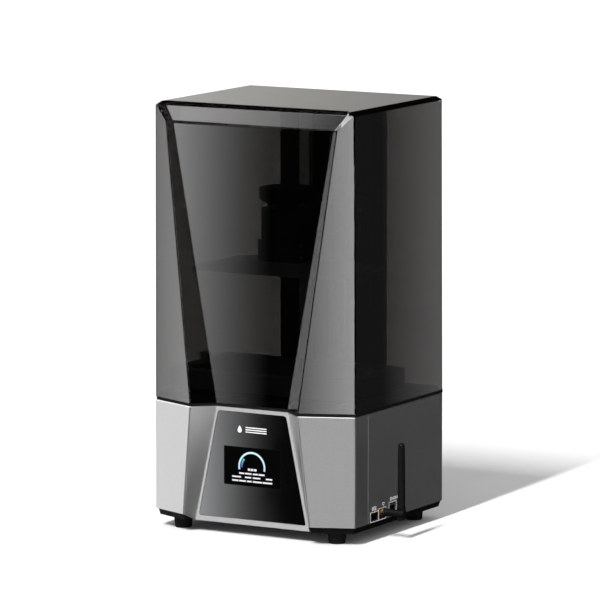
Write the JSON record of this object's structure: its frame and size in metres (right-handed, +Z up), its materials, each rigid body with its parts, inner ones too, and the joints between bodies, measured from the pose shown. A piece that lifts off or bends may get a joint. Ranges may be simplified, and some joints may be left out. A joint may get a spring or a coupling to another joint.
{
  "type": "resin 3-d printer",
  "caption": "Desktop masked-screen resin 3-D printer: faceted base with front touchscreen, smoked lift-off cover, Z column with build platform, vat and folding antenna.",
  "frame": {"origin": "on the standing surface, at the middle of the body's footprint with the antenna left out", "axes": "+X to the object's right seen from its front, +Y to its back, +Z up"},
  "size_m": [0.3398, 0.274, 0.5727],
  "materials": {
    "smoked_acrylic": "gloss",
    "black_rubber": "matte",
    "silver_paint": "satin",
    "bright_trim": "satin",
    "black_glass": "gloss",
    "display": "gloss",
    "black_plastic": "matte",
    "black_anodised": "satin",
    "cast_aluminium": "satin",
    "steel": "satin",
    "film": "gloss",
    "clear_lens": "gloss",
    "circuit_board": "satin",
    "motor_body": "satin",
    "gold": "polished",
    "cable_sheath": "matte"
  },
  "bodies": {
    "base": {"cover_gasket": "black_rubber", "front_shell": "silver_paint", "side_panel_left": "silver_paint", "side_panel_right": "silver_paint", "rear_panel": "silver_paint", "panel_screws": "steel", "bottom_tray": "black_plastic", "feet": "black_rubber", "front_trim_frame": "bright_trim", "front_glass": "black_glass", "display_module": "display", "deck_plate": "black_anodised", "mask_lcd_panel": "black_glass", "light_source_housing": "black_plastic", "fresnel_lens": "clear_lens", "led_array_board": "circuit_board", "heat_sink": "cast_aluminium", "light_fan_frame": "black_plastic", "exhaust_fan_frame": "black_plastic", "exhaust_fan_guard": "steel", "vat_rest_rails": "cast_aluminium", "column": "black_anodised", "linear_rails": "steel", "lower_bearing_block": "cast_aluminium", "upper_bearing_block": "cast_aluminium", "z_motor": "motor_body", "motor_bracket": "steel", "home_sensor": "black_plastic", "main_board": "circuit_board", "power_supply": "steel", "usb_socket": "black_plastic", "network_socket": "steel", "antenna_jack": "gold", "mains_inlet": "black_plastic", "switch_body": "black_plastic", "internal_cables": "cable_sheath"},
    "cover": {"cover_shell": "smoked_acrylic"},
    "carriage": {"carriage_plate": "black_anodised", "carriage_screws": "steel", "rail_blocks": "steel", "ball_nut": "steel", "sensor_flag": "steel", "arm_block": "black_anodised", "platform_bracket": "black_anodised", "levelling_screws": "steel", "build_plate": "cast_aluminium"},
    "lead_screw": {"ball_screw": "steel", "shaft_coupling": "steel"},
    "clamp_knob": {"clamp_knob": "black_plastic"},
    "vat": {"vat_body": "cast_aluminium", "release_film": "film", "film_clamp_frame": "black_anodised", "film_screws": "steel"},
    "vat_screw_left": {"vat_thumbscrew_left": "steel"},
    "vat_screw_right": {"vat_thumbscrew_right": "steel"},
    "light_fan": {"light_fan_rotor": "black_plastic"},
    "exhaust_fan": {"exhaust_fan_rotor": "black_plastic"},
    "antenna_base": {"antenna_hub": "black_plastic"},
    "antenna": {"antenna_whip": "black_plastic"},
    "power_rocker": {"switch_rocker": "black_plastic"}
  },
  "joints": [
    {"name": "cover_lift", "type": "slide", "parent": "base", "child": "cover", "axis": [0, 0, 1], "range_m": [0, 0.4]},
    {"name": "z_travel", "type": "slide", "parent": "base", "child": "carriage", "axis": [0, 0, 1], "range_m": [-0.1605, 0.0995]},
    {"name": "screw_spin", "type": "hinge", "parent": "base", "child": "lead_screw", "pos_m": [0, 0.1006, 0.3054], "axis": [0, 0, 1], "continuous": true},
    {"name": "knob_turn", "type": "hinge", "parent": "carriage", "child": "clamp_knob", "pos_m": [0, -0.02, 0.4454], "axis": [0, 0, 1], "range_deg": [0, 720]},
    {"name": "vat_lift", "type": "slide", "parent": "base", "child": "vat", "axis": [0, 0, 1], "range_m": [0, 0.06]},
    {"name": "vat_screw_left_turn", "type": "hinge", "parent": "vat", "child": "vat_screw_left", "pos_m": [-0.126, -0.02, 0.2154], "axis": [0, 0, 1], "range_deg": [0, 1080]},
    {"name": "vat_screw_right_turn", "type": "hinge", "parent": "vat", "child": "vat_screw_right", "pos_m": [0.126, -0.02, 0.2154], "axis": [0, 0, 1], "range_deg": [0, 1080]},
    {"name": "light_fan_spin", "type": "hinge", "parent": "base", "child": "light_fan", "pos_m": [0, -0.02, 0.0354], "axis": [0, 0, 1], "continuous": true},
    {"name": "exhaust_fan_spin", "type": "hinge", "parent": "base", "child": "exhaust_fan", "pos_m": [0.078, 0.124, 0.1054], "axis": [0, 1, 0], "continuous": true},
    {"name": "antenna_swivel", "type": "hinge", "parent": "base", "child": "antenna_base", "pos_m": [0.16, -0.0342, 0.0352], "axis": [1, 0, 0], "range_deg": [-90, 90]},
    {"name": "antenna_fold", "type": "hinge", "parent": "antenna_base", "child": "antenna", "pos_m": [0.1816, -0.0342, 0.0352], "axis": [0, 1, 0], "range_deg": [0, 90]},
    {"name": "power_rocker_tilt", "type": "hinge", "parent": "base", "child": "power_rocker", "pos_m": [-0.072, 0.1305, 0.0514], "axis": [1, 0, 0], "range_deg": [0, 16]}
  ],
  "couplings": [
    {"joint": "screw_spin", "follows": "z_travel", "rad_per_m": -1256.6}
  ]
}
